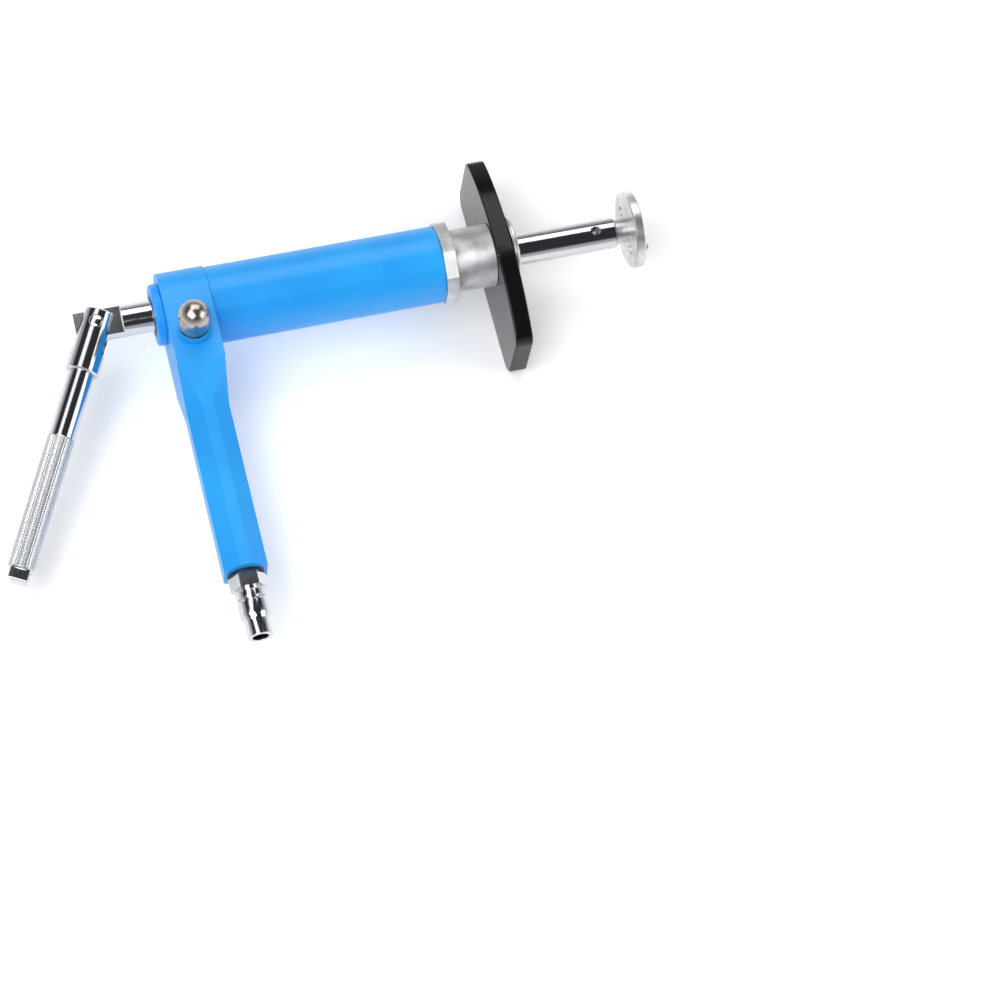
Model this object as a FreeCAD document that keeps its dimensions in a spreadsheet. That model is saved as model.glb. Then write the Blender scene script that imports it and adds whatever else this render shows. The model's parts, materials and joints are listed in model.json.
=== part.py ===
"""Air-powered wind-back tool for brake caliper pistons.

Frame: +X runs along the spindle towards the adapter disc, +Z is the button side and the
grip points to -Y.  The origin is the centre of the adapter disc's front face.
All sizes are in millimetres.
"""
import FreeCAD, Part
import math
import os
import Sketcher
from FreeCAD import Placement, Rotation, Vector

# Driving sizes.  A name ending in _at is a distance behind the disc's front face.
SIZES = {
    # adapter disc, its stem, square tail and drive pins
    "disc_radius": 19.75, "disc_thick": 5.0, "disc_chamfer": 0.6,
    "stem_radius": 6.4, "stem_end_at": 11.45,
    "tail_side": 9.4, "tail_end_at": 26.0,
    "pin_radius": 2.5, "pin_reach": 4.0, "pin_chamfer": 0.6, "pin_circle_radius": 10.5,
    "pin_shank": 2.85, "pin_recess": 0.6, "pin_shoulder": 0.05,
    "detent_at": 22.5, "detent_well_radius": 2.0, "detent_well_floor": 3.0,
    "ball_radius": 1.95, "ball_height": 3.4,
    # spindle
    "rod_radius": 8.0, "rod_end_at": 11.5, "rod_chamfer": 0.8,
    "socket_side": 9.56, "socket_depth": 15.5,
    "cross_hole_radius": 2.1, "cross_hole_mouth": 2.7,
    "shoulder_at": 267.0, "tang_end_at": 290.5, "tang_thick": 8.0, "tang_corner": 1.5,
    "clip_groove_radius": 7.4, "clip_groove_width": 1.5,
    "rear_clip_at": 159.5, "front_clip_at": 136.0,
    # piston set
    "piston_rear_at": 156.0, "piston_length": 18.0, "piston_radius": 17.9,
    "seal_groove_radius": 15.0, "seal_width": 3.0, "seal_inset": 3.0, "seal_radius": 17.95,
    "washer_thick": 1.9, "washer_radius": 14.0, "clip_radius": 10.0, "clip_thick": 1.2,
    "rod_ring_groove": 10.0, "rod_ring_width": 2.4, "rod_ring_wire": 0.9,
    # barrel
    "barrel_radius": 19.5, "barrel_bore": 18.0, "barrel_rear_at": 223.0, "barrel_front_at": 105.0,
    # front cap
    "plug_radius": 17.9, "plug_end_at": 122.0, "ring_groove_radius": 16.0,
    "ring_groove_width": 2.5, "ring_inset": 5.0, "ring_wire": 0.95,
    "collar_radius": 20.75, "collar_flat": 19.62, "collar_front_at": 98.5, "collar_bore": 12.5,
    "sleeve_radius": 16.0, "sleeve_front_at": 77.5, "nose_radius": 13.0, "nose_front_at": 65.5,
    "rod_clearance": 9.0, "front_seal_radius": 12.0, "front_seal_depth": 4.0,
    "bush_radius": 11.0, "bush_rear_at": 100.0, "bush_length": 21.0,
    "wiper_radius": 11.0, "wiper_depth": 3.5, "edge": 0.8,
    # reaction plate and its nut
    "plate_rear_at": 77.4, "plate_thick": 9.1, "plate_length": 106.0, "plate_left": 53.0,
    "plate_low": 36.0, "plate_end_height": 40.0, "plate_arc_radius": 111.0,
    "plate_corner": 8.0, "plate_hole": 13.08,
    "plate_washer_thick": 0.5, "plate_washer_radius": 17.5,
    "nut_radius": 18.5, "nut_rear_at": 67.6,
    # head and grip
    "head_radius": 20.25, "head_rear_at": 247.0, "head_bottom": 36.4, "spigot_end_at": 213.0,
    "chamber_radius": 12.0, "chamber_rear_at": 225.0,
    "gland_bore": 12.6, "gland_floor_at": 231.0,
    "grip_at": 235.25, "grip_shift": 0.9, "neck_bottom": 57.5, "grip_bottom": 144.0,
    "grip_half_width": 10.7, "grip_half_depth": 13.5, "grip_facet": 2.9, "grip_flank": 7.0,
    "air_bore": 4.0, "inlet_bore": 6.55, "inlet_depth": 10.0,
    "port_radius": 1.3, "port_offset": 14.4, "port_at": 231.5,
    # rear gland cap
    "gland_radius": 15.5, "gland_rear_at": 251.5, "gland_spigot": 12.5, "gland_length": 16.5,
    "gland_bush": 10.3, "gland_bush_from": 5.0, "gland_groove": 11.4, "gland_groove_from": 8.5,
    "gland_ring_wire": 0.55, "gland_groove_width": 1.4,
    "rear_seal_thick": 3.6, "running": 0.05, "seat": 0.05,
    # air valve and its button
    "valve_offset": 20.5, "valve_bore": 5.05, "valve_floor": 10.0,
    "boss_radius": 8.5, "boss_height": 3.7, "boss_recess": 7.2, "boss_floor": 0.75,
    "button_radius": 7.8, "skirt_bottom": 24.6, "skirt_height": 10.6, "skirt_bore": 6.0,
    "guide_radius": 7.0, "lip_height": 2.4, "lip_edge": 0.4,
    "spring_seat": 6.5, "stem_hole_depth": 9.4, "valve_stem_radius": 2.45,
    "valve_stem_low": 4.0, "valve_stem_high": 34.0,
    "valve_bush_low": 0.5, "valve_flange_low": 21.05, "valve_flange_high": 21.45,
    "valve_flange_radius": 6.8, "valve_neck_radius": 3.9, "valve_neck_high": 24.5,
    "valve_groove_radius": 3.6, "valve_groove_width": 1.6, "valve_ring_wire": 0.7,
    "low_groove_from": 4.5, "high_groove_from": 14.5,
    "seat_seal_radius": 3.9, "seat_seal_thick": 2.4, "coil_radius": 4.9, "coil_wire": 0.5,
    # air nipple
    "spigot_radius": 6.5, "nipple_bore": 4.0, "nipple_washer_radius": 9.0,
    "nipple_washer_thick": 1.5, "hex_flat": 8.0, "hex_length": 7.0,
    "nipple_neck": 5.6, "nipple_collar": 7.3, "nipple_body": 7.5, "nipple_tip": 6.2,
    "neck_end": 20.5, "collar_end": 23.5, "groove_end": 25.5, "body_end": 32.0,
    "taper_end": 35.0, "nipple_length": 43.0, "filter_length": 6.5,
    # handle
    "pivot_at": 280.0, "handle_pin_radius": 2.95, "handle_pin_half": 8.3,
    "yoke_radius": 8.5, "yoke_top": 7.0, "yoke_length": 33.0, "yoke_slot": 9.0,
    "yoke_slot_depth": 22.0, "yoke_socket": 5.0, "yoke_socket_depth": 8.0,
    "bar_radius": 6.75, "knurl_radius": 7.0, "bar_spigot": 4.95, "bar_spigot_length": 8.0,
    "knurl_from": 43.0, "knurl_to": 112.5, "stub_side": 9.6, "stub_length": 6.0,
    "pivot_washer_radius": 7.0, "pivot_washer_thick": 0.35,
}
SPIN = 6.5            # degrees that the spindle is turned about +X at rest
HANDLE_TURN = 242.5   # degrees from +X to the handle, about the pivot pin

doc = FreeCAD.newDocument("WindBackTool")
sheet = doc.addObject("Spreadsheet::Sheet", "Sizes")
for row, (alias, size) in enumerate(SIZES.items(), start=1):
    sheet.set("A%d" % row, alias)
    sheet.set("B%d" % row, str(size))
    sheet.setAlias("B%d" % row, alias)
doc.recompute()

TO_Y = Rotation(Vector(0, 0, 1), -90)    # turns a piece's own +X to the row's -Y
TO_Z = Rotation(Vector(0, 1, 0), -90)    # turns a piece's own +X to the row's +Z
ALONG_X = Rotation(Vector(0, 1, 0), 90)  # turns a cylinder's own +Z to the row's +X
ALONG_Y = Rotation(Vector(1, 0, 0), 90)  # turns a cylinder's own +Z to the row's -Y
SPUN = Placement(Vector(), Rotation(Vector(1, 0, 0), SPIN))
NODES = {}


def number(text):
    """Value of a sum of size names and plain numbers, such as 'rod_radius + running'."""
    total = 0.0
    sign = 1.0
    for word in text.split():
        if word in "+-":
            sign = 1.0 if word == "+" else -1.0
        else:
            total += sign * (SIZES[word] if word in SIZES else float(word))
    return total


def bound(text):
    """The same sum as an expression on the sheet's cells."""
    return " ".join("Sizes." + word if word in SIZES else word for word in text.split())


def behind(text):
    """Place of something that lies a sum of sizes behind the disc's front face."""
    swap = {"+": "-", "-": "+"}
    return " ".join(swap.get(word, word) for word in ("+ " + text).split())


def node(label, item):
    """Give the finished sub-part its own label, which names its file."""
    item.Label = label
    NODES[label] = item
    return item


def move(item, x="0", y="0", z="0", turn=Rotation()):
    """Put a piece at a bound place."""
    item.Placement = Placement(Vector(number(x), number(y), number(z)), turn)
    for axis, text in (("x", x), ("y", y), ("z", z)):
        if text != "0":
            item.setExpression("Placement.Base." + axis, bound(text))
    return item


def origin_plane(body, role):
    return next(item for item in body.Origin.OriginFeatures if item.Role == role)


def new_sketch(body, role):
    sketch = body.newObject("Sketcher::SketchObject", body.Name + "_sketch")
    sketch.AttachmentSupport = [(origin_plane(body, role), "")]
    sketch.MapMode = "FlatFace"
    return sketch


def bind(sketch, kind, *where):
    """Add a constraint whose size is the sum named last."""
    text = where[-1]
    index = sketch.addConstraint(Sketcher.Constraint(kind, *where[:-1], number(text)))
    sketch.setExpression("Constraints[%d]" % index, bound(text))


def pin_vertex(sketch, line, across, up):
    """Hold the start of a line at a bound place of the sketch."""
    if across == "0":
        sketch.addConstraint(Sketcher.Constraint("PointOnObject", line, 1, -2))
    else:
        bind(sketch, "DistanceX", -1, 1, line, 1, across)
    if up == "0":
        sketch.addConstraint(Sketcher.Constraint("PointOnObject", line, 1, -1))
    else:
        bind(sketch, "DistanceY", -1, 1, line, 1, up)


def draw_outline(sketch, outline):
    """Closed outline of straight lines through bound corners."""
    corners = [Vector(number(across), number(up), 0) for across, up in outline]
    count = len(corners)
    for index, corner in enumerate(corners):
        sketch.addGeometry(Part.LineSegment(corner, corners[(index + 1) % count]), False)
    for index, (across, up) in enumerate(outline):
        sketch.addConstraint(Sketcher.Constraint("Coincident", index, 2, (index + 1) % count, 1))
        pin_vertex(sketch, index, across, up)


def turned(name, outline):
    """Solid turned about its own X axis; each corner is (distance along, radius)."""
    body = doc.addObject("PartDesign::Body", name)
    sketch = new_sketch(body, "XY_Plane")
    draw_outline(sketch, outline)
    turn = body.newObject("PartDesign::Revolution", name + "_turn")
    turn.Profile = sketch
    turn.ReferenceAxis = (sketch, ["H_Axis"])
    turn.Angle = 360
    return body


def ring(name, length, inner, outer):
    """Plain ring about its own X axis."""
    return turned(name, [("0", inner), (length, inner), (length, outer), ("0", outer)])


def cylinder(name, radius, height):
    item = doc.addObject("Part::Cylinder", name)
    item.setExpression("Radius", bound(radius))
    item.setExpression("Height", bound(height))
    return item


def rod_x(name, radius, rear_at, length):
    """Cylinder along +X that starts at a distance behind the disc's face."""
    return move(cylinder(name, radius, length), x=behind(rear_at), turn=ALONG_X)


def box(name, along, across, up):
    item = doc.addObject("Part::Box", name)
    item.setExpression("Length", bound(along))
    item.setExpression("Width", bound(across))
    item.setExpression("Height", bound(up))
    return item


def centred_box(name, rear_at, along, across, up):
    """Box along +X, centred on the axis in both other directions."""
    item = box(name, along, across, up)
    item.Placement.Base = Vector(-number(rear_at), -number(across) / 2, -number(up) / 2)
    item.setExpression("Placement.Base.x", bound(behind(rear_at)))
    item.setExpression("Placement.Base.y", "-(" + bound(across) + ") / 2")
    item.setExpression("Placement.Base.z", "-(" + bound(up) + ") / 2")
    return item


def torus(name, ring_radius, wire):
    item = doc.addObject("Part::Torus", name)
    item.setExpression("Radius1", bound(ring_radius))
    item.setExpression("Radius2", bound(wire))
    return item


def fuse(name, items):
    item = doc.addObject("Part::MultiFuse", name)
    item.Shapes = items
    item.Refine = True
    return item


def cut(name, base, tools):
    """Base less all the tools."""
    item = doc.addObject("Part::Cut", name)
    item.Base = base
    item.Tool = tools[0] if len(tools) == 1 else fuse(name + "_tools", tools)
    return item


def group(name, items):
    """Identical pieces kept together as separate solids of one node."""
    item = doc.addObject("Part::Compound", name)
    item.Links = items
    return item


def coil(name, radius, wire, length, turns):
    """Round-wire compression spring that stands on its own XY plane."""
    pitch = (length - 2 * wire) / turns
    path = Part.Wire(Part.makeHelix(pitch, pitch * turns, radius))
    path.translate(Vector(0, 0, wire))
    section = Part.Wire(Part.makeCircle(wire, Vector(radius, 0, wire), Vector(0, 1, 0)))
    item = doc.addObject("Part::Feature", name)
    item.Shape = path.makePipeShell([section], True, True)
    return item


# ---- barrel and head --------------------------------------------------------------------

def barrel_tube():
    tube = ring("barrel_tube", "barrel_rear_at - barrel_front_at", "barrel_bore", "barrel_radius")
    node("barrel_tube", move(tube, x="- barrel_rear_at"))


def section(height, half_width, half_depth, facet, flank, shift=0.0):
    """Corners of one eight-sided section of the grip, at a distance below the axis."""
    quarter = [(half_width, flank), (facet, half_depth)]
    corners = quarter + [(-x, z) for x, z in reversed(quarter)]
    corners = corners + [(-x, -z) for x, z in corners]
    return [Vector(x - shift, -height, z) for x, z in corners]


def skin(upper, lower):
    """Flat faces between two sections; corners that coincide close up to triangles."""
    faces = []
    for index, corner in enumerate(upper):
        after = (index + 1) % len(upper)
        loop = [corner, upper[after], lower[after], lower[index]]
        points = [p for n, p in enumerate(loop) if p.distanceToPoint(loop[n - 1]) > 1e-6]
        faces.append(Part.Face(Part.makePolygon(points + [points[0]])))
    return faces


def closed_face(corners):
    points = [p for n, p in enumerate(corners) if p.distanceToPoint(corners[n - 1]) > 1e-6]
    return Part.Face(Part.makePolygon(points + [points[0]]))


def grip_blank():
    """Eight-sided grip and the sloping neck that joins it to the square head."""
    size = {name: float(sheet.get(name)) for name in SIZES}
    half_head = (size["head_rear_at"] - size["barrel_rear_at"]) / 2
    top = section(size["head_bottom"], half_head, size["head_radius"], half_head,
                  size["head_radius"])
    grip = (size["grip_half_width"], size["grip_half_depth"], size["grip_facet"],
            size["grip_flank"], size["grip_shift"])
    middle = section(size["neck_bottom"], *grip)
    bottom = section(size["grip_bottom"], *grip)
    faces = skin(top, middle) + skin(middle, bottom) + [closed_face(top), closed_face(bottom)]
    blank = doc.addObject("Part::Feature", "grip_blank")
    blank.Shape = Part.Solid(Part.Shell(faces))
    return move(blank, x="- grip_at")


def head_blank():
    """Round head, the square block below it, the grip, the button boss and the barrel spigot."""
    length = "head_rear_at - barrel_rear_at"
    block = box("head_block", length, "head_bottom", "head_radius + head_radius")
    move(block, x="- head_rear_at", y="- head_bottom", z="- head_radius")
    boss = cylinder("boss", "boss_radius", "boss_height + 1")
    move(boss, x="- grip_at", y="- valve_offset", z="head_radius - 1")
    spigot = rod_x("barrel_spigot", "plug_radius", "barrel_rear_at + 1",
                   "barrel_rear_at - spigot_end_at + 1")
    groove = rod_x("spigot_groove_outer", "plug_radius + 1", "spigot_end_at + ring_inset",
                   "ring_groove_width")
    core = rod_x("spigot_groove_core", "ring_groove_radius", "spigot_end_at + ring_inset",
                 "ring_groove_width")
    spigot = cut("grooved_spigot", spigot, [cut("spigot_groove", groove, [core])])
    head = rod_x("round_head", "head_radius", "head_rear_at", length)
    return fuse("head_blank", [head, block, grip_blank(), boss, spigot])


def head_and_grip():
    gland = rod_x("gland_seat", "gland_bore", "head_rear_at", "head_rear_at - gland_floor_at")
    rod = rod_x("head_rod_bore", "rod_clearance", "head_rear_at", "head_rear_at - spigot_end_at")
    chamber = rod_x("chamber", "chamber_radius", "chamber_rear_at",
                    "chamber_rear_at - spigot_end_at")
    valve = cylinder("valve_well", "valve_bore", "head_radius + boss_floor + valve_floor")
    move(valve, x="- grip_at", y="- valve_offset", z="- valve_floor")
    recess = cylinder("boss_recess", "boss_recess", "boss_height")
    move(recess, x="- grip_at", y="- valve_offset", z="head_radius + boss_floor")
    air = cylinder("grip_air_bore", "air_bore", "grip_bottom - valve_offset")
    move(air, x="- grip_at - grip_shift", y="- valve_offset", turn=ALONG_Y)
    inlet = cylinder("inlet_thread", "inlet_bore", "inlet_depth")
    move(inlet, x="- grip_at - grip_shift", y="inlet_depth - grip_bottom", turn=ALONG_Y)
    port = rod_x("port", "port_radius", "port_at", "port_at - spigot_end_at")
    move(port, x="- port_at", y="- port_offset", turn=ALONG_X)
    link = cylinder("port_link", "port_radius", "valve_offset - port_offset")
    move(link, x="- port_at", y="- port_offset", turn=ALONG_Y)
    bores = [gland, rod, chamber, valve, recess, air, inlet, port, link]
    node("head_and_grip", cut("head_and_grip", head_blank(), bores))


def o_ring(label, at, ring_radius, wire):
    """Rubber ring round the main axis."""
    node(label, move(torus(label, ring_radius, wire), x=behind(at), turn=ALONG_X))


def ring_grooves():
    middle = "ring_inset - 1.25"
    o_ring("barrel_rear_oring", "spigot_end_at + " + middle, "ring_groove_radius + ring_wire + 0.02",
           "ring_wire")
    o_ring("barrel_front_oring", "plug_end_at - ring_inset - 1.25",
           "ring_groove_radius + ring_wire + 0.02", "ring_wire")
    o_ring("rear_gland_oring", "gland_rear_at - gland_groove_from - 0.7",
           "gland_groove + gland_ring_wire + 0.02", "gland_ring_wire")


# ---- rear gland -------------------------------------------------------------------------

def rear_gland():
    bush_end = "gland_bush_from"
    groove_end = "gland_groove_from + gland_groove_width"
    flange = "gland_rear_at - head_rear_at"
    cap = turned("rear_gland_cap", [
        ("0", "wiper_radius"), ("wiper_depth", "wiper_radius"), ("wiper_depth", "rod_clearance"),
        (bush_end, "rod_clearance"), (bush_end, "gland_bush"), ("gland_length", "gland_bush"),
        ("gland_length", "gland_spigot"), (groove_end, "gland_spigot"),
        (groove_end, "gland_groove"), ("gland_groove_from", "gland_groove"),
        ("gland_groove_from", "gland_spigot"), (flange, "gland_spigot"),
        (flange, "gland_radius"), ("edge", "gland_radius"), ("0", "gland_radius - edge")])
    node("rear_gland_cap", move(cap, x="- gland_rear_at"))
    bush = ring("rear_bush", "gland_length - gland_bush_from - 0.2", "rod_radius + running",
                "gland_bush - seat")
    node("rear_bush", move(bush, x="gland_bush_from + 0.1 - gland_rear_at"))
    wiper = ring("rear_wiper", "wiper_depth - 0.6", "rod_radius + running", "wiper_radius - seat")
    node("rear_wiper", move(wiper, x="0.4 - gland_rear_at"))
    seal = ring("rear_rod_seal", "rear_seal_thick", "rod_radius + running", "gland_bore - seat")
    node("rear_rod_seal", move(seal, x="gland_length + 0.1 - gland_rear_at"))


# ---- front cap, plate and nut -----------------------------------------------------------

def front_cap():
    """Plug, sleeve and threaded nose turned in one piece, with six flats on the collar."""
    seat_from = "plug_end_at - bush_rear_at"
    seat_to = seat_from + " + bush_length"
    total = "plug_end_at - nose_front_at"
    wiper_from = total + " - wiper_depth"
    nose_from = "plug_end_at - sleeve_front_at"
    plug = "plug_end_at - barrel_front_at"
    groove = "ring_inset + ring_groove_width"
    core = turned("front_cap_core", [
        ("0", "front_seal_radius"), ("front_seal_depth", "front_seal_radius"),
        ("front_seal_depth", "rod_clearance"), (seat_from, "rod_clearance"),
        (seat_from, "bush_radius"), (seat_to, "bush_radius"), (seat_to, "rod_clearance"),
        (wiper_from, "rod_clearance"), (wiper_from, "wiper_radius"), (total, "wiper_radius"),
        (total, "nose_radius"), (nose_from, "nose_radius"), (nose_from, "sleeve_radius"),
        (plug, "sleeve_radius"), (plug, "plug_radius"), (groove, "plug_radius"),
        (groove, "ring_groove_radius"), ("ring_inset", "ring_groove_radius"),
        ("ring_inset", "plug_radius"), ("0", "plug_radius")])
    move(core, x="- plug_end_at")
    length = "barrel_front_at - collar_front_at"
    hexagon = doc.addObject("Part::Prism", "collar_hexagon")
    hexagon.Polygon = 6
    hexagon.setExpression("Circumradius", "Sizes.collar_flat / cos(30)")
    hexagon.setExpression("Height", bound(length))
    move(hexagon, x="- barrel_front_at", turn=ALONG_X)
    disc = rod_x("collar_disc", "collar_radius", "barrel_front_at", length)
    flats = doc.addObject("Part::MultiCommon", "collar_flats")
    flats.Shapes = [disc, hexagon]
    bore = rod_x("collar_bore", "collar_bore", "barrel_front_at", length)
    node("front_cap", fuse("front_cap", [core, cut("collar", flats, [bore])]))


def front_cap_inside():
    bush = ring("front_bush", "bush_length - 0.2", "rod_radius + running", "bush_radius - seat")
    node("front_bush", move(bush, x="0.1 - bush_rear_at"))
    seal = ring("front_rod_seal", "front_seal_depth - 0.4", "rod_radius + running",
                "front_seal_radius - seat")
    node("front_rod_seal", move(seal, x="0.2 - plug_end_at"))
    wiper = ring("front_wiper", "wiper_depth - 0.6", "rod_radius + running", "wiper_radius - seat")
    node("front_wiper", move(wiper, x="0.2 - nose_front_at - wiper_depth"))


def reaction_plate():
    """Plate with one straight long side, an arched one, and the hole for the nose."""
    body = doc.addObject("PartDesign::Body", "reaction_plate")
    sketch = new_sketch(body, "YZ_Plane")
    length = number("plate_length")
    height = number("plate_end_height")
    radius = number("plate_arc_radius")
    half_angle = math.asin(length / 2 / radius)
    centre = Vector(length / 2, height - radius * math.cos(half_angle), 0)
    circle = Part.Circle(centre, Vector(0, 0, 1), radius)
    corners = [Vector(0, height, 0), Vector(0, 0, 0), Vector(length, 0, 0), Vector(length, height, 0)]
    for start, end in zip(corners, corners[1:]):
        sketch.addGeometry(Part.LineSegment(start, end), False)
    arch = (math.pi / 2 - half_angle, math.pi / 2 + half_angle)
    sketch.addGeometry(Part.ArcOfCircle(circle, *arch), False)
    for first, second in ((0, 1), (1, 2)):
        sketch.addConstraint(Sketcher.Constraint("Coincident", first, 2, second, 1))
    sketch.addConstraint(Sketcher.Constraint("Coincident", 2, 2, 3, 1))
    sketch.addConstraint(Sketcher.Constraint("Coincident", 3, 2, 0, 1))
    pin_vertex(sketch, 0, "0", "plate_end_height")
    pin_vertex(sketch, 1, "0", "0")
    pin_vertex(sketch, 2, "plate_length", "0")
    pin_vertex(sketch, 3, "plate_length", "plate_end_height")
    bind(sketch, "Radius", 3, "plate_arc_radius")
    hole = Part.Circle(Vector(number("plate_left"), number("plate_low"), 0), Vector(0, 0, 1),
                       number("plate_hole"))
    sketch.addGeometry(hole, False)
    bind(sketch, "Radius", 4, "plate_hole")
    bind(sketch, "DistanceX", -1, 1, 4, 3, "plate_left")
    bind(sketch, "DistanceY", -1, 1, 4, 3, "plate_low")
    pad = body.newObject("PartDesign::Pad", "plate_pad")
    pad.Profile = sketch
    pad.setExpression("Length", bound("plate_thick"))
    doc.recompute()
    corners = [name for name, edge in named_edges(pad.Shape) if is_straight_along_x(edge)]
    rounding = body.newObject("PartDesign::Fillet", "plate_corners")
    rounding.Base = (pad, corners)
    rounding.setExpression("Radius", bound("plate_corner"))
    node("reaction_plate", move(body, x="- plate_rear_at", y="- plate_left", z="- plate_low"))


def named_edges(shape):
    return [("Edge%d" % count, edge) for count, edge in enumerate(shape.Edges, start=1)]


def is_straight_along_x(edge):
    """True for a straight edge along X, but not for the seam of a round hole."""
    if edge.Curve.TypeId != "Part::GeomLine":
        return False
    start, end = edge.Vertexes[0].Point, edge.Vertexes[-1].Point
    middle = Vector(0, number("plate_left"), number("plate_low"))
    off_hole = math.hypot(start.y - middle.y, start.z - middle.z) > number("plate_hole") + 1
    return abs(start.y - end.y) < 1e-6 and abs(start.z - end.z) < 1e-6 and off_hole


def plate_fastening():
    washer = ring("plate_washer", "plate_washer_thick", "nose_radius + 0.1", "plate_washer_radius")
    node("plate_washer", move(washer, x="0.05 - nut_rear_at - plate_washer_thick - 0.1"))
    nut_length = "nut_rear_at - nose_front_at"
    nut = turned("plate_ring_nut", [
        ("0", "nose_radius + 0.02"), (nut_length, "nose_radius + 0.02"),
        (nut_length, "nut_radius - edge"), (nut_length + " - edge", "nut_radius"),
        ("0", "nut_radius")])
    node("plate_ring_nut", move(nut, x="- nut_rear_at"))


# ---- piston set -------------------------------------------------------------------------

def piston_set():
    first, second = "seal_inset", "piston_length - seal_inset - seal_width"
    middle = "9 - 1.2"
    piston = turned("piston", [
        ("0", "rod_radius + 0.1"), (middle, "rod_radius + 0.1"), (middle, "rod_ring_groove"),
        (middle + " + rod_ring_width", "rod_ring_groove"),
        (middle + " + rod_ring_width", "rod_radius + 0.1"), ("piston_length", "rod_radius + 0.1"),
        ("piston_length", "piston_radius"), (second + " + seal_width", "piston_radius"),
        (second + " + seal_width", "seal_groove_radius"), (second, "seal_groove_radius"),
        (second, "piston_radius"), (first + " + seal_width", "piston_radius"),
        (first + " + seal_width", "seal_groove_radius"), (first, "seal_groove_radius"),
        (first, "piston_radius"), ("0", "piston_radius")])
    node("piston", move(piston, x="- piston_rear_at"))
    seals = []
    for name, inset in (("rear_seal", first), ("front_seal", second)):
        seal = ring(name, "seal_width - 0.2", "seal_groove_radius + 0.05", "seal_radius")
        seals.append(move(seal, x="0.1 - piston_rear_at + " + inset))
    node("piston_seals", group("piston_seals", seals))
    o_ring("piston_rod_oring", "piston_rear_at - 9", "rod_radius + rod_ring_wire + 0.1",
           "rod_ring_wire")
    washers = []
    for name, start in (("rear_washer", "0 - piston_rear_at - washer_thick - 0.05"),
                        ("front_washer", "piston_length + 0.05 - piston_rear_at")):
        washer = ring(name, "washer_thick", "rod_radius + 0.1", "washer_radius")
        washers.append(move(washer, x=start))
    node("thrust_washers", group("thrust_washers", washers))
    clips = []
    for name, at in (("rear_clip", "rear_clip_at"), ("front_clip", "front_clip_at")):
        clip = ring(name, "clip_thick", "clip_groove_radius + 0.03", "clip_radius")
        clips.append(move(clip, x="0.15 - " + at))
    node("circlips", group("circlips", clips))


# ---- spindle and adapter ----------------------------------------------------------------

def spindle_rod():
    """Rod that runs right through: flat tang behind, square socket and cross hole in front."""
    total = "shoulder_at - rod_end_at"
    outline = [("0", "0"), ("0", "rod_radius")]
    for clip in ("rear_clip_at", "front_clip_at"):
        start = "shoulder_at - " + clip
        end = start + " + clip_groove_width"
        outline += [(start, "rod_radius"), (start, "clip_groove_radius"),
                    (end, "clip_groove_radius"), (end, "rod_radius")]
    outline += [(total + " - rod_chamfer", "rod_radius"), (total, "rod_radius - rod_chamfer"),
                (total, "0")]
    rod = move(turned("rod_core", outline), x="- shoulder_at")
    tang = fuse("rod_with_tang", [rod, tang_blank()])
    socket = centred_box("drive_socket", "rod_end_at + socket_depth", "socket_depth + 1",
                         "socket_side", "socket_side")
    hole = cylinder("cross_hole", "cross_hole_radius", "rod_radius")
    move(hole, x="- detent_at")
    mouth = doc.addObject("Part::Cone", "cross_hole_mouth")
    mouth.setExpression("Radius1", bound("cross_hole_radius"))
    mouth.setExpression("Radius2", bound("cross_hole_mouth"))
    mouth.setExpression("Height", bound("cross_hole_mouth - cross_hole_radius"))
    move(mouth, x="- detent_at", z="rod_radius - cross_hole_mouth + cross_hole_radius")
    pivot = cylinder("tang_hole", "handle_pin_radius + 0.1", "rod_radius + rod_radius")
    move(pivot, x="- pivot_at", z="- rod_radius")
    rod = cut("spindle_rod", tang, [socket, hole, mouth, pivot])
    rod.Placement = SPUN
    node("spindle_rod", rod)


def tang_blank():
    """Flat tang milled from the round bar, with its two end corners rounded."""
    length = "tang_end_at - shoulder_at + 0.5"
    flat = centred_box("tang_flat", "tang_end_at", length, "rod_radius + rod_radius", "tang_thick")
    doc.recompute()
    rear = -number("tang_end_at")
    corners = [count for count, edge in enumerate(flat.Shape.Edges, start=1)
               if all(abs(vertex.X - rear) < 1e-6 for vertex in edge.Vertexes)
               and abs(edge.Vertexes[0].Y - edge.Vertexes[1].Y) < 1e-6]
    rounded = doc.addObject("Part::Fillet", "tang_rounded")
    rounded.Base = flat
    rounded.Edges = [(count, number("tang_corner"), number("tang_corner")) for count in corners]
    bar = rod_x("tang_bar", "rod_radius", "tang_end_at", length)
    tang = doc.addObject("Part::MultiCommon", "tang_blank")
    tang.Shapes = [rounded, bar]
    return tang


def adapter_disc():
    stem = "stem_end_at - disc_thick"
    turned_part = turned("disc_core", [
        ("0", "0"), ("0", "stem_radius"), (stem, "stem_radius"),
        (stem, "disc_radius - disc_chamfer"), (stem + " + disc_chamfer", "disc_radius"),
        ("stem_end_at - disc_chamfer", "disc_radius"), ("stem_end_at", "disc_radius - disc_chamfer"),
        ("stem_end_at", "0")])
    move(turned_part, x="- stem_end_at")
    tail = centred_box("adapter_tail", "tail_end_at", "tail_end_at - stem_end_at + 1",
                       "tail_side", "tail_side")
    well = cylinder("detent_well", "detent_well_radius", "detent_well_floor + tail_side")
    move(well, x="- detent_at", z="- detent_well_floor")
    holes = [well]
    for name, offset in (("upper_pin_hole", "pin_circle_radius"),
                         ("lower_pin_hole", "- pin_circle_radius")):
        hole = rod_x(name, "pin_shank", "disc_thick + 1", "disc_thick + 2")
        holes.append(move(hole, x="- disc_thick - 1", y=offset, turn=ALONG_X))
    disc = cut("adapter_disc", fuse("adapter_blank", [turned_part, tail]), holes)
    disc.Placement = SPUN
    node("adapter_disc", disc)


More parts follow.
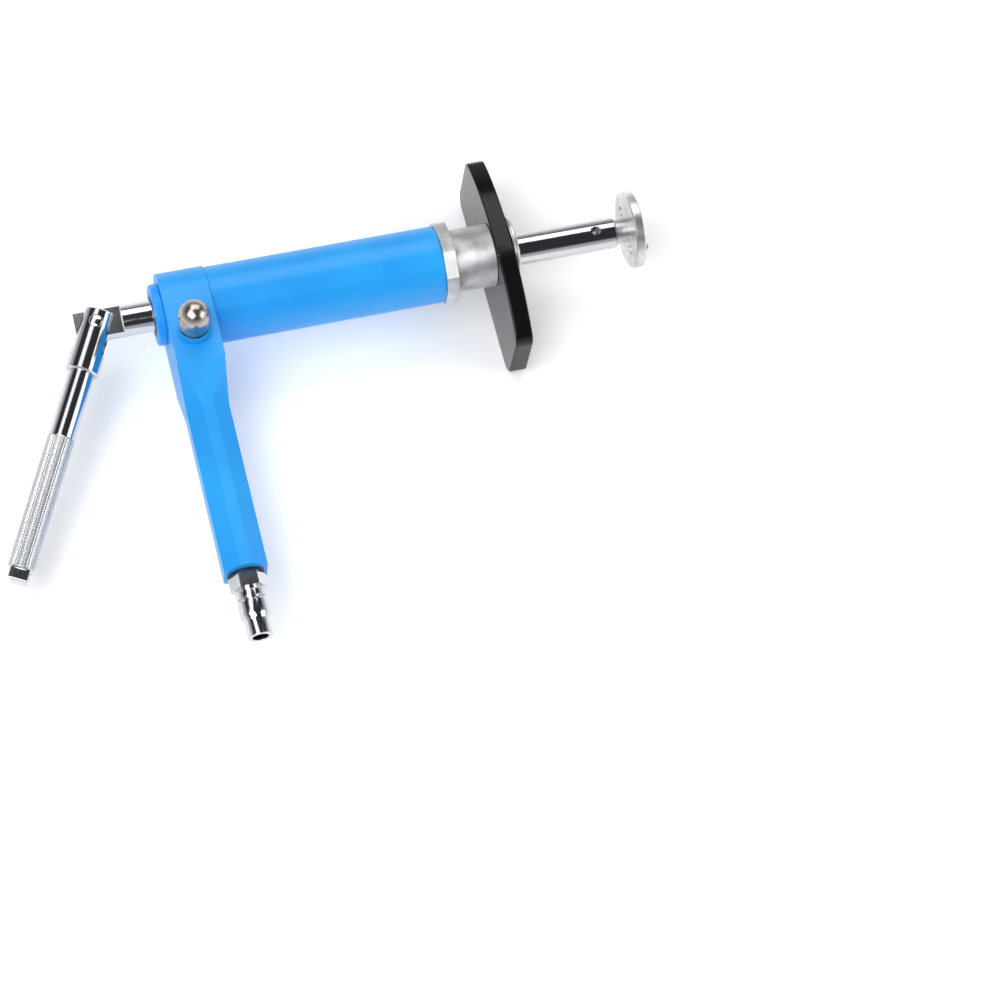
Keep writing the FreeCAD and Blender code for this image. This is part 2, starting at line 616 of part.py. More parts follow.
def adapter_details():
    shank = "disc_thick - pin_recess - pin_shoulder"
    total = "disc_thick - pin_recess + pin_reach"
    pins = []
    for name, offset in (("upper_pin", "pin_circle_radius"), ("lower_pin", "- pin_circle_radius")):
        stud = turned(name, [
            ("0", "0"), ("0", "pin_shank"), (shank, "pin_shank"), (shank, "pin_radius"),
            (total + " - pin_chamfer", "pin_radius"),
            (total, "pin_radius - pin_chamfer"), (total, "0")])
        pins.append(move(stud, x="pin_recess - disc_thick", y=offset))
    node("drive_pins", group("drive_pins", pins)).Placement = SPUN
    ball = doc.addObject("Part::Sphere", "ball")
    ball.setExpression("Radius", bound("ball_radius"))
    move(ball, x="- detent_at", z="ball_height")
    node("detent_ball", group("detent_ball", [ball])).Placement = SPUN
    spring_length = number("detent_well_floor + ball_height - ball_radius") - 0.1
    spring = coil("detent_coil", 1.4, 0.3, spring_length, 5)
    spring.Placement.Base = Vector(-number("detent_at"), 0, 0.05 - number("detent_well_floor"))
    node("detent_spring", group("detent_spring", [spring])).Placement = SPUN


# ---- handle -----------------------------------------------------------------------------

def handle_placement():
    """The handle's own +X runs from the pivot pin along the bar, its +Z along the pin."""
    turn = Rotation(Vector(0, 0, 1), HANDLE_TURN)
    return SPUN.multiply(Placement(Vector(-number("pivot_at"), 0, 0), turn))


def handle_yoke():
    blank = turned("yoke_blank", [
        ("0", "0"), ("0", "yoke_radius - edge"), ("edge", "yoke_radius"),
        ("yoke_length - edge", "yoke_radius"), ("yoke_length", "yoke_radius - edge"),
        ("yoke_length", "0")])
    move(blank, x="- yoke_top")
    slot = centred_box("yoke_slot", "yoke_top + 1", "yoke_slot_depth + 1",
                       "yoke_radius + yoke_radius + 2", "yoke_slot")
    hole = cylinder("yoke_pin_hole", "handle_pin_radius + 0.05", "yoke_radius + yoke_radius")
    move(hole, z="- yoke_radius")
    socket = cylinder("yoke_socket", "yoke_socket", "yoke_socket_depth + 1")
    move(socket, x="yoke_length - yoke_top - yoke_socket_depth", turn=ALONG_X)
    yoke = cut("handle_yoke", blank, [slot, hole, socket])
    yoke.Placement = handle_placement()
    node("handle_yoke", yoke)


def handle_bar():
    """Bar with a spigot in the yoke, a knurled grip and a square stub at its tip."""
    core = turned("bar_core", [
        ("0", "0"), ("0", "bar_spigot"), ("bar_spigot_length", "bar_spigot"),
        ("bar_spigot_length", "bar_radius"), ("knurl_from", "bar_radius"),
        ("knurl_from", "knurl_radius"), ("knurl_to - edge", "knurl_radius"),
        ("knurl_to", "knurl_radius - edge"), ("knurl_to", "0")])
    move(core, x="yoke_length - yoke_top - bar_spigot_length")
    stub = box("bar_stub", "stub_length + 1", "stub_side", "stub_side")
    half = "-Sizes.stub_side / 2"
    stub.setExpression("Placement.Base.x", bound("yoke_length - yoke_top - bar_spigot_length "
                                                 "+ knurl_to - 1"))
    stub.setExpression("Placement.Base.y", half)
    stub.setExpression("Placement.Base.z", half)
    bar = fuse("handle_bar", [core, stub])
    bar.Placement = handle_placement()
    node("handle_bar", bar)


def handle_pivot():
    length = "handle_pin_half + handle_pin_half"
    pin = turned("pivot_pin_core", [
        ("0", "0"), ("0", "handle_pin_radius - 0.4"), ("0.4", "handle_pin_radius"),
        (length + " - 0.4", "handle_pin_radius"), (length, "handle_pin_radius - 0.4"),
        (length, "0")])
    move(pin, z="- handle_pin_half", turn=TO_Z)
    node("handle_pivot_pin", group("handle_pivot_pin", [pin])).Placement = handle_placement()
    washers = []
    for name, start in (("lower_pivot_washer", "- 4.05 - pivot_washer_thick"),
                        ("upper_pivot_washer", "4.05")):
        washer = ring(name, "pivot_washer_thick", "handle_pin_radius + 0.1", "pivot_washer_radius")
        washers.append(move(washer, z=start, turn=TO_Z))
    node("pivot_spring_washers", group("pivot_spring_washers", washers)).Placement = \
        handle_placement()


# ---- air valve --------------------------------------------------------------------------

def on_valve(item, height):
    """Stand a piece on the valve's axis at a height above the tool's axis."""
    return move(item, x="- grip_at", y="- valve_offset", z=height, turn=TO_Z)


def button_cap():
    skirt = turned("button_skirt", [
        ("0", "skirt_bore"), ("spring_seat", "skirt_bore"), ("spring_seat", "valve_stem_radius + 0.02"),
        ("stem_hole_depth", "valve_stem_radius + 0.02"), ("stem_hole_depth", "0"),
        ("skirt_height", "0"), ("skirt_height", "button_radius"),
        ("lip_height + lip_edge", "button_radius"), ("lip_height", "button_radius - lip_edge"),
        ("lip_height", "guide_radius"), ("0", "guide_radius")])
    on_valve(skirt, "skirt_bottom")
    dome = doc.addObject("Part::Sphere", "button_dome")
    dome.Angle1 = 0
    dome.setExpression("Radius", bound("button_radius"))
    move(dome, x="- grip_at", y="- valve_offset", z="skirt_bottom + skirt_height")
    node("button_cap", fuse("button_cap", [skirt, dome]))


def valve_stem():
    length = "valve_stem_low + valve_stem_high - 0.05"
    stem = turned("valve_stem", [
        ("0", "0"), ("0", "valve_stem_radius"), (length, "valve_stem_radius"), (length, "0")])
    node("valve_stem", on_valve(stem, "- valve_stem_low"))
    seal = ring("valve_seat_seal", "seat_seal_thick", "valve_stem_radius + 0.02",
                "seat_seal_radius")
    node("valve_seat_seal", on_valve(seal, "- valve_bush_low - 0.1 - seat_seal_thick"))


def valve_bush():
    top = "valve_bush_low + "
    outline = [("0", "valve_stem_radius + running"),
               (top + "valve_neck_high", "valve_stem_radius + running"),
               (top + "valve_neck_high", "valve_neck_radius"),
               (top + "valve_flange_high", "valve_neck_radius"),
               (top + "valve_flange_high", "valve_flange_radius"),
               (top + "valve_flange_low", "valve_flange_radius"),
               (top + "valve_flange_low", "valve_bore - seat")]
    for start in ("high_groove_from", "low_groove_from"):
        end = start + " + valve_groove_width"
        outline += [(end, "valve_bore - seat"), (end, "valve_groove_radius"),
                    (start, "valve_groove_radius"), (start, "valve_bore - seat")]
    outline.append(("0", "valve_bore - seat"))
    node("valve_bush", on_valve(turned("valve_bush", outline), "- valve_bush_low"))
    rings = []
    for name, start in (("low_valve_ring", "low_groove_from"),
                        ("high_valve_ring", "high_groove_from")):
        seal = torus(name, "valve_groove_radius + valve_ring_wire + 0.02", "valve_ring_wire")
        height = start + " + 0.8 - valve_bush_low"
        rings.append(move(seal, x="- grip_at", y="- valve_offset", z=height))
    node("valve_bush_orings", group("valve_bush_orings", rings))


def valve_spring():
    length = number("skirt_bottom + spring_seat - valve_flange_high") - 0.1
    spring = coil("valve_spring", number("coil_radius"), number("coil_wire"), length, 5)
    node("valve_spring", move(spring, x="- grip_at", y="- valve_offset",
                              z="valve_flange_high + 0.05"))


# ---- air inlet --------------------------------------------------------------------------

def air_nipple():
    """Quick-connect plug: threaded spigot, hexagon, locking groove and tapered nose."""
    hex_end = "inlet_depth + nipple_washer_thick + hex_length"
    core = turned("nipple_core", [
        ("0", "nipple_bore"), ("nipple_length", "nipple_bore"), ("nipple_length", "nipple_tip"),
        ("taper_end", "nipple_tip"), ("body_end", "nipple_body"), ("groove_end", "nipple_body"),
        ("groove_end", "nipple_neck"), ("collar_end", "nipple_neck"),
        ("collar_end", "nipple_collar"), ("neck_end", "nipple_collar"),
        ("neck_end", "nipple_neck"), (hex_end + " - 1", "nipple_neck"),
        (hex_end + " - 1", "spigot_radius"), ("0", "spigot_radius")])
    move(core, x="- grip_at - grip_shift", y="inlet_depth - grip_bottom", turn=TO_Y)
    hexagon = doc.addObject("Part::Prism", "nipple_hexagon")
    hexagon.Polygon = 6
    hexagon.setExpression("Circumradius", "Sizes.hex_flat / cos(30)")
    hexagon.setExpression("Height", bound("hex_length"))
    move(hexagon, x="- grip_at - grip_shift", y="- grip_bottom - nipple_washer_thick", turn=ALONG_Y)
    bore = cylinder("hexagon_bore", "nipple_bore + 1", "hex_length")
    move(bore, x="- grip_at - grip_shift", y="- grip_bottom - nipple_washer_thick", turn=ALONG_Y)
    nut = cut("nipple_nut", hexagon, [bore])
    node("air_nipple", fuse("air_nipple", [core, nut]))
    washer = ring("nipple_seal_washer", "nipple_washer_thick - 0.04", "spigot_radius + 0.05",
                  "nipple_washer_radius")
    node("nipple_seal_washer", move(washer, x="- grip_at - grip_shift", y="- grip_bottom - 0.02", turn=TO_Y))


def inlet_filter():
    """Sintered cup that stands on the nipple's spigot."""
    cup = turned("inlet_filter", [
        ("0", "0"), ("0", "air_bore - 0.1"), ("filter_length", "air_bore - 0.1"),
        ("filter_length", "air_bore - 1.4"), ("1.5", "air_bore - 1.4"), ("1.5", "0")])
    node("inlet_filter", move(cup, x="- grip_at - grip_shift",
                              y="filter_length + inlet_depth + 0.1 - grip_bottom",
                              turn=TO_Y))


def check_document():
    """Stop on any object that failed, or any sub-part without a sound shape."""
    for item in doc.Objects:
        if "Invalid" in item.State or "Error" in item.State:
            raise RuntimeError("failed: " + item.Label)
    for label, item in NODES.items():
        if item.Shape.isNull() or not item.Shape.isValid() or not item.Shape.Solids:
            raise RuntimeError("no sound shape: " + label)


def write_nodes():
    os.makedirs("parts", exist_ok=True)
    for label, item in NODES.items():
        item.Shape.exportStep("parts/%s.step" % label)
        print("%-24s %2d solids %10.1f mm3" % (label, len(item.Shape.Solids), item.Shape.Volume))


barrel_tube()
head_and_grip()
ring_grooves()
rear_gland()
front_cap()
front_cap_inside()
reaction_plate()
plate_fastening()
piston_set()
spindle_rod()
adapter_disc()
adapter_details()
handle_yoke()
handle_bar()
handle_pivot()
button_cap()
valve_stem()
valve_bush()
valve_spring()
air_nipple()
inlet_filter()
doc.recompute()
check_document()
write_nodes()
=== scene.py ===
# %% [markdown]
# # An air-powered wind-back tool for brake caliper pistons
#
# The tool is a pistol grip with an air cylinder on top. Air pushes a piston, the piston pushes
# a chromed spindle, and a swing handle at the back turns that spindle. A black plate takes the
# reaction. We start from the design: every size and place below comes from its nodes.

# %% Load the design
import json
import math

import bpy
from mathutils import Matrix, Vector


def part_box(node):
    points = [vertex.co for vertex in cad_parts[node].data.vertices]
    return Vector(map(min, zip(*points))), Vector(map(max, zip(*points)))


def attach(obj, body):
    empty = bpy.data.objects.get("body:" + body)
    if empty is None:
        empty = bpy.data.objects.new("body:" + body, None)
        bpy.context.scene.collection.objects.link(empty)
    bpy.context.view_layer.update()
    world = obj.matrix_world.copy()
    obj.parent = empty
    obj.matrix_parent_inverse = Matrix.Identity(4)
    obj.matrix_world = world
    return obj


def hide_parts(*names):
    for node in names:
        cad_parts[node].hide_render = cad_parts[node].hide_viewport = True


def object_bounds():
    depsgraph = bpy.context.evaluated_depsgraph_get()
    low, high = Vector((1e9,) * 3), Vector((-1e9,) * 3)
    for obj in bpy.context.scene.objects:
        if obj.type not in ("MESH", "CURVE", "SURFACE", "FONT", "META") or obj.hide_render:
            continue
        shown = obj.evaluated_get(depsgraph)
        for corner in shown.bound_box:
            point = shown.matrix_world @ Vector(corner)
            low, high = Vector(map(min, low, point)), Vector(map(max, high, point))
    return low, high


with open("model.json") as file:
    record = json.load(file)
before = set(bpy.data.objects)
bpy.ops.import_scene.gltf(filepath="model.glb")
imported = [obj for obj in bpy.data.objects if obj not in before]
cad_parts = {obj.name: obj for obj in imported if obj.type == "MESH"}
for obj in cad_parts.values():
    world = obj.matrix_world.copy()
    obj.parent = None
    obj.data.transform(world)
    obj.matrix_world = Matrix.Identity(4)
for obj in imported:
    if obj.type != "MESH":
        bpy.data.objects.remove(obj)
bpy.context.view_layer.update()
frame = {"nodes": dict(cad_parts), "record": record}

MM = 0.001

# %% [markdown]
# ## A ring that grows into a turned piece
#
# Most of the tool is turned on a lathe. In Blender the same shape can be a spun outline or a
# ring that is extruded and scaled station by station. We take the ring, because each station
# is then one length and one radius, just as on a turner's drawing. A closed outline gives a
# tube, and an open one that starts with a filled disc gives a solid bar.

# %% Turning a piece
SEGMENTS = 96


def deselect():
    bpy.ops.object.select_all(action="DESELECT")


def pick(piece):
    """Select one object and nothing else."""
    deselect()
    piece.select_set(True)
    bpy.context.view_layer.objects.active = piece


def apply_place(piece):
    """Write the object's place into its mesh, so that the object sits at the origin."""
    pick(piece)
    bpy.ops.object.transform_apply(location=True, rotation=True, scale=True)
    return piece


def clean(piece):
    """Join doubled points and turn every face outwards."""
    pick(piece)
    bpy.ops.object.mode_set(mode="EDIT")
    bpy.ops.mesh.select_all(action="SELECT")
    bpy.ops.mesh.remove_doubles(threshold=0.005 * MM)
    bpy.ops.mesh.normals_make_consistent(inside=False)
    bpy.ops.object.mode_set(mode="OBJECT")
    return piece


def turn_piece(name, stations, hollow=False, segments=SEGMENTS):
    """Turned piece along its own +Z. Each station is (distance along, radius) in mm."""
    deselect()
    start, first = stations[0]
    fill = "NOTHING" if hollow else "NGON"
    bpy.ops.mesh.primitive_circle_add(vertices=segments, radius=first * MM, fill_type=fill,
                                      location=(0, 0, start * MM))
    piece = bpy.context.object
    piece.name = name
    apply_place(piece)
    bpy.ops.object.mode_set(mode="EDIT")
    bpy.ops.mesh.select_all(action="SELECT")
    for (before, radius), (along, next_radius) in zip(stations, stations[1:]):
        bpy.ops.mesh.extrude_region_move(
            TRANSFORM_OT_translate={"value": (0, 0, (along - before) * MM)})
        grow = next_radius / radius
        bpy.ops.transform.resize(value=(grow, grow, 1), center_override=(0, 0, along * MM))
    bpy.ops.object.mode_set(mode="OBJECT")
    return clean(piece)


def rounded(piece, width, steps=2, angle=30):
    """Round edges sharper than an angle by a width in mm; flat faces stay flat to the eye."""
    pick(piece)
    bevel = piece.modifiers.new("edges", "BEVEL")
    bevel.width = width * MM
    bevel.segments = steps
    bevel.limit_method = "ANGLE"
    bevel.angle_limit = math.radians(angle)
    bpy.ops.object.modifier_apply(modifier=bevel.name)
    bpy.ops.object.shade_smooth_by_angle(angle=math.radians(angle))
    flat = piece.modifiers.new("flats", "WEIGHTED_NORMAL")
    flat.keep_sharp = True
    flat.weight = 90
    bpy.ops.object.modifier_apply(modifier=flat.name)
    return piece


def lay_along(piece, start, direction, about=0.0):
    """Lay a piece's own +Z along a direction from a starting point, then apply its place."""
    turn = Vector(direction).to_track_quat("Z", "Y")
    piece.rotation_mode = "QUATERNION"
    piece.rotation_quaternion = turn @ Matrix.Rotation(about, 3, "Z").to_quaternion()
    piece.location = start
    return apply_place(piece)


def finished(piece, node, body, material):
    """Give a piece its finish, hang it on the body it moves with, and hide the node it replaces.
    """
    piece.data.materials.clear()
    piece.data.materials.append(material)
    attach(piece, body)
    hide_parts(node)
    size = [round(side / MM, 1) for side in piece.dimensions]
    print(piece.name, "mm:", size, "faces:", len(piece.data.polygons))
    return piece


# %% [markdown]
# ## Adding a node to a material
#
# Every finish here is built from Blender's procedural nodes. One helper adds a node with its
# settings and its links, and one turns a colour's sRGB hex value into the linear numbers that
# the shader works in.

# %% Material helpers
def colour(code):
    """Linear colour of an sRGB hex value such as 1F8FE8."""
    parts = [int(code[start:start + 2], 16) / 255 for start in (0, 2, 4)]
    linear = [part / 12.92 if part <= 0.04045 else ((part + 0.055) / 1.055) ** 2.4
              for part in parts]
    return (*linear, 1.0)


def start_material(name):
    """New material with only its shader; gives its node tree and that shader."""
    material = bpy.data.materials.new(name)
    material.use_nodes = True
    return material, material.node_tree, material.node_tree.nodes["Principled BSDF"]


def add(tree, kind, settings=(), inputs=(), links=()):
    """Add a node: settings are its own values, inputs its sockets' values, links feed sockets."""
    item = tree.nodes.new(kind)
    for name, value in dict(settings).items():
        setattr(item, name, value)
    for socket, value in dict(inputs).items():
        item.inputs[socket].default_value = value
    for socket, source in dict(links).items():
        tree.links.new(source, item.inputs[socket])
    return item


# %% [markdown]
# ## Blue gloss enamel
#
# The head, grip, barrel and gland cap are painted with one blue gloss enamel. Wet paint pulls
# itself nearly smooth and dries with a faint ripple about 2 mm from crest to crest, called
# orange peel, and on the casting a finer grain of the sand mould shows through, about 0.6 mm.
# The paint is a plastic film, so it isn't metallic, and a thin clear gloss sits on its colour.

# %% Blue gloss enamel
PEEL = 2.0       # mm from crest to crest of the paint's ripple
SAND = 0.6       # mm, grain of the casting under the paint


def blue_enamel(name, grain):
    material, tree, shader = start_material(name)
    place = add(tree, "ShaderNodeTexCoord").outputs["Object"]
    tone = add(tree, "ShaderNodeTexNoise", inputs={"Scale": 1 / (40 * MM), "Detail": 3},
               links={"Vector": place})
    shade = add(tree, "ShaderNodeValToRGB", links={"Fac": tone.outputs["Fac"]})
    shade.color_ramp.elements[0].position = 0.3
    shade.color_ramp.elements[0].color = colour("0D98EC")
    shade.color_ramp.elements[1].position = 0.7
    shade.color_ramp.elements[1].color = colour("1AA6F8")
    tree.links.new(shade.outputs["Color"], shader.inputs["Base Color"])
    peel = add(tree, "ShaderNodeTexNoise", inputs={"Scale": 1 / (PEEL * MM), "Detail": 1},
               links={"Vector": place})
    sand = add(tree, "ShaderNodeTexNoise", inputs={"Scale": 1 / (SAND * MM), "Detail": 4},
               links={"Vector": place})
    ripple = add(tree, "ShaderNodeBump", inputs={"Strength": 0.12, "Distance": 0.05 * MM},
                 links={"Height": peel.outputs["Fac"]})
    skin = add(tree, "ShaderNodeBump", inputs={"Strength": grain, "Distance": 0.08 * MM},
               links={"Height": sand.outputs["Fac"], "Normal": ripple.outputs["Normal"]})
    tree.links.new(skin.outputs["Normal"], shader.inputs["Normal"])
    matt = add(tree, "ShaderNodeMapRange", inputs={"To Min": 0.34, "To Max": 0.46},
               links={"Value": tone.outputs["Fac"]})
    tree.links.new(matt.outputs["Result"], shader.inputs["Roughness"])
    shader.inputs["Coat Weight"].default_value = 0.12
    shader.inputs["Coat Roughness"].default_value = 0.25
    return material


tube_enamel = blue_enamel("blue_gloss_enamel_on_tube", 0.2)
cast_enamel = blue_enamel("blue_gloss_enamel_on_casting", 0.9)

# %% [markdown]
# ## Black gloss enamel
#
# The reaction plate is laser-cut steel under black gloss enamel. It is handled roughly, so the
# gloss varies in cloudy patches about 15 mm wide, and small chips about 1 mm across let a grey
# primer through, mostly in the few places where something has knocked it.

# %% Black gloss enamel
def black_enamel():
    material, tree, shader = start_material("black_gloss_enamel")
    place = add(tree, "ShaderNodeTexCoord").outputs["Object"]
    cloud = add(tree, "ShaderNodeTexNoise", inputs={"Scale": 1 / (15 * MM), "Detail": 3},
                links={"Vector": place})
    matt = add(tree, "ShaderNodeMapRange", inputs={"From Min": 0.35, "From Max": 0.7,
                                                   "To Min": 0.07, "To Max": 0.2},
               links={"Value": cloud.outputs["Fac"]})
    tree.links.new(matt.outputs["Result"], shader.inputs["Roughness"])
    speck = add(tree, "ShaderNodeTexNoise", inputs={"Scale": 1 / (1.6 * MM), "Detail": 2},
                links={"Vector": place})
    knocked = add(tree, "ShaderNodeMath", {"operation": "MULTIPLY"},
                  links={0: speck.outputs["Fac"], 1: cloud.outputs["Fac"]})
    chip = add(tree, "ShaderNodeValToRGB", links={"Fac": knocked.outputs["Value"]})
    chip.color_ramp.elements[0].position = 0.44
    chip.color_ramp.elements[0].color = colour("131314")
    chip.color_ramp.elements[1].position = 0.455
    chip.color_ramp.elements[1].color = colour("8C8C90")
    tree.links.new(chip.outputs["Color"], shader.inputs["Base Color"])
    peel = add(tree, "ShaderNodeTexNoise", inputs={"Scale": 1 / (2.5 * MM), "Detail": 1},
               links={"Vector": place})
    ripple = add(tree, "ShaderNodeBump", inputs={"Strength": 0.35, "Distance": 0.05 * MM},
                 links={"Height": peel.outputs["Fac"]})
    tree.links.new(ripple.outputs["Normal"], shader.inputs["Normal"])
    shader.inputs["Specular IOR Level"].default_value = 0.28
    return material


plate_enamel = black_enamel()

# %% [markdown]
# ## Bright chrome plate
#
# Rod, yoke, bar, button and air nipple are polished steel with bright chromium on nickel.
# Chrome is a mirror: what the eye sees on it is the room. It only gives itself away by hair
# scratches from wiping, which lie in every direction and are far too fine to see one by one,
# so they are drawn 0.4 mm wide and change the gloss only a little. The button's chrome instead
# has a darker, warm brown-grey colour. That colour is painted: a painted warm reflection on the
# dome, and painted shade that keeps the skirt from mirroring the white table.

# %% Bright chrome plate
def chrome(name, code, pale, dull):
    material, tree, shader = start_material(name)
    place = add(tree, "ShaderNodeTexCoord").outputs["Object"]
    shader.inputs["Metallic"].default_value = 1.0
    wipe = add(tree, "ShaderNodeMapping", inputs={"Scale": (1, 6, 6)}, links={"Vector": place})
    hair = add(tree, "ShaderNodeTexNoise", inputs={"Scale": 1 / (2.4 * MM), "Detail": 5},
               links={"Vector": wipe.outputs["Vector"]})
    gloss = add(tree, "ShaderNodeMapRange", inputs={"From Min": 0.3, "From Max": 0.75,
                                                    "To Min": dull, "To Max": dull + 0.06},
                links={"Value": hair.outputs["Fac"]})
    tree.links.new(gloss.outputs["Result"], shader.inputs["Roughness"])
    haze = add(tree, "ShaderNodeTexNoise", inputs={"Scale": 1 / (18 * MM), "Detail": 2},
               links={"Vector": place})
    tint = add(tree, "ShaderNodeMix", {"data_type": "RGBA"},
               inputs={"A": colour(code), "B": colour(pale)},
               links={"Factor": haze.outputs["Fac"]})
    tree.links.new(tint.outputs["Result"], shader.inputs["Base Color"])
    return material


bright_chrome = chrome("bright_chrome_plate", "C6C8CC", "D6D8DB", 0.09)
# The button's darker warm brown-grey colours are painted warm reflection and painted shade, not
# the colour of chrome.
satin_chrome = chrome("satin_chrome_with_painted_warm_reflection_on_button", "A89D95", "C6BEB8", 0.22)
knurl_chrome = chrome("satin_chrome_on_knurl", "D0D1D4", "E0E1E3", 0.3)

# %% [markdown]
# ## Turned aluminium and zinc-plated steel
#
# The front cap is bare aluminium bar. The tool bit leaves a fine thread of marks round it,
# about 0.15 mm apart, which smear every reflection across the marks; they are drawn 0.5 mm
# apart so that they show. Ring nut and adapter disc are steel with bright zinc, smoother and
# flatter. Both patterns follow the axis of the lathe, so one function makes both.

# %% Turned metals
def turned_metal(name, code, dull, pitch, depth):
    material, tree, shader = start_material(name)
    place = add(tree, "ShaderNodeTexCoord").outputs["Object"]
    shader.inputs["Metallic"].default_value = 1.0
    marks = add(tree, "ShaderNodeTexWave",
                {"wave_type": "BANDS", "bands_direction": "X", "wave_profile": "SIN"},
                inputs={"Scale": 0.314 / (pitch * MM), "Distortion": 1.5, "Detail": 2,
                        "Detail Scale": 1.5}, links={"Vector": place})
    grain = add(tree, "ShaderNodeTexNoise", inputs={"Scale": 1 / (0.5 * MM), "Detail": 4},
                links={"Vector": place})
    groove = add(tree, "ShaderNodeBump", inputs={"Strength": depth, "Distance": 0.14 * MM},
                 links={"Height": marks.outputs["Fac"]})
    skin = add(tree, "ShaderNodeBump", inputs={"Strength": depth, "Distance": 0.03 * MM},
               links={"Height": grain.outputs["Fac"], "Normal": groove.outputs["Normal"]})
    tree.links.new(skin.outputs["Normal"], shader.inputs["Normal"])
    matt = add(tree, "ShaderNodeMapRange", inputs={"To Min": dull, "To Max": dull + 0.12},
               links={"Value": grain.outputs["Fac"]})
    tree.links.new(matt.outputs["Result"], shader.inputs["Roughness"])
    stain = add(tree, "ShaderNodeTexNoise", inputs={"Scale": 1 / (9 * MM), "Detail": 4},
                links={"Vector": place})
    tint = add(tree, "ShaderNodeValToRGB", links={"Fac": stain.outputs["Fac"]})
    tint.color_ramp.elements[0].position = 0.3
    tint.color_ramp.elements[0].color = colour("BFC0C3")
    tint.color_ramp.elements[1].position = 0.65
    tint.color_ramp.elements[1].color = colour(code)
    tree.links.new(tint.outputs["Color"], shader.inputs["Base Color"])
    return material


turned_aluminium = turned_metal("turned_aluminium", "E8E8E9", 0.34, 0.5, 0.8)
zinc_steel = turned_metal("bright_zinc_on_steel", "E6E6E4", 0.27, 0.8, 0.12)
spring_steel = turned_metal("drawn_spring_steel", "A8ABB0", 0.28, 1.0, 0.1)

# %% [markdown]
# ## Rubber and bearing metals
#
# Seals are moulded nitrile rubber: nearly black, matt, with a bloom that greys it in clouds.
# Bushes and the filter are sintered bronze, made of pressed grains about 0.3 mm across, and
# the valve bush is turned brass.

# %% Rubber and bearing metals
def nitrile():
    material, tree, shader = start_material("moulded_nitrile_rubber")
    place = add(tree, "ShaderNodeTexCoord").outputs["Object"]
    bloom = add(tree, "ShaderNodeTexNoise", inputs={"Scale": 1 / (4 * MM), "Detail": 4},
                links={"Vector": place})
    tint = add(tree, "ShaderNodeMix", {"data_type": "RGBA"},
               inputs={"A": colour("101011"), "B": colour("232325")},
               links={"Factor": bloom.outputs["Fac"]})
    tree.links.new(tint.outputs["Result"], shader.inputs["Base Color"])
    skin = add(tree, "ShaderNodeBump", inputs={"Strength": 0.3, "Distance": 0.04 * MM},
               links={"Height": bloom.outputs["Fac"]})
    tree.links.new(skin.outputs["Normal"], shader.inputs["Normal"])
    shader.inputs["Roughness"].default_value = 0.5
    return material


def bearing_metal(name, code, dark, dull, grain_size):
    material, tree, shader = start_material(name)
    place = add(tree, "ShaderNodeTexCoord").outputs["Object"]
    grain = add(tree, "ShaderNodeTexVoronoi", inputs={"Scale": 1 / (grain_size * MM)},
                links={"Vector": place})
    tint = add(tree, "ShaderNodeMix", {"data_type": "RGBA"},
               inputs={"A": colour(code), "B": colour(dark)},
               links={"Factor": grain.outputs["Distance"]})
    tree.links.new(tint.outputs["Result"], shader.inputs["Base Color"])
    shader.inputs["Metallic"].default_value = 1.0
    shader.inputs["Roughness"].default_value = dull
    return material


rubber = nitrile()
bronze = bearing_metal("sintered_bronze", "C08A4A", "8A5A2C", 0.42, 0.3)
brass = bearing_metal("turned_brass", "D8B25A", "B98F3E", 0.22, 1.5)

# %% [markdown]
# ## Every node gets its finish
#
# The nodes that keep their designed shape take a finish by their material slot. The pieces
# modelled below then take the place of the nodes that are seen up close.

# %% Finish by material slot
SLOT_FINISH = {
    "blue_paint": tube_enamel, "black_paint": plate_enamel, "chrome_plate": bright_chrome,
    "knurled_chrome": knurl_chrome, "turned_aluminium": turned_aluminium,
    "zinc_steel": zinc_steel, "spring_steel": spring_steel, "bronze": bronze, "brass": brass,
    "nitrile_rubber": rubber,
}
for subpart in frame["record"]["subparts"]:
    part_mesh = frame["nodes"][subpart["node"]].data
    part_mesh.materials.clear()
    part_mesh.materials.append(SLOT_FINISH[subpart["material_slot"]])

# %% [markdown]
# ## Castings and plates: the designed solid with its edges softened
#
# A casting has no sharp edge: the sand rounds it, and the paint rounds it again. The head's
# planes are already right in the design, so we copy the node, join its loose triangles into
# whole faces, and round every edge. Modelling it again from a cube would only repeat that work.

# %% Softened copies of designed solids
def softened(name, node, width, steps=3, angle=30):
    """Copy of a designed solid with whole faces and edges rounded by a width in mm."""
    piece = frame["nodes"][node].copy()
    piece.data = piece.data.copy()
    piece.name = name
    piece.parent = None
    bpy.context.collection.objects.link(piece)
    for key in list(piece.keys()):
        del piece[key]
    pick(piece)
    bpy.ops.object.mode_set(mode="EDIT")
    bpy.ops.mesh.select_all(action="SELECT")
    bpy.ops.mesh.customdata_custom_splitnormals_clear()
    bpy.ops.mesh.remove_doubles(threshold=0.002 * MM)
    bpy.ops.mesh.dissolve_limited(angle_limit=math.radians(0.6))
    bpy.ops.object.mode_set(mode="OBJECT")
    return rounded(piece, width, steps, angle)


casting = finished(softened("cast_head_and_grip", "head_and_grip", 1.0),
                   "head_and_grip", "housing", cast_enamel)
plate = finished(softened("steel_reaction_plate", "reaction_plate", 0.9),
                 "reaction_plate", "reaction_plate", plate_enamel)

# %% [markdown]
# ## Barrel, gland cap and front cap
#
# The barrel is a plain drawn tube, but its painted rims are rounded and its bore shows at
# neither end, so one turned wall is enough. The gland cap screws into the head, and its rim is
# chamfered. The tube is a closed outline: out along the outside, back along the bore. Both
# caps are right in the design and are softened copies.

# %% Barrel and gland cap
def box_of(node):
    """Lowest and highest corner of a node in mm."""
    low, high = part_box(node)
    return low / MM, high / MM


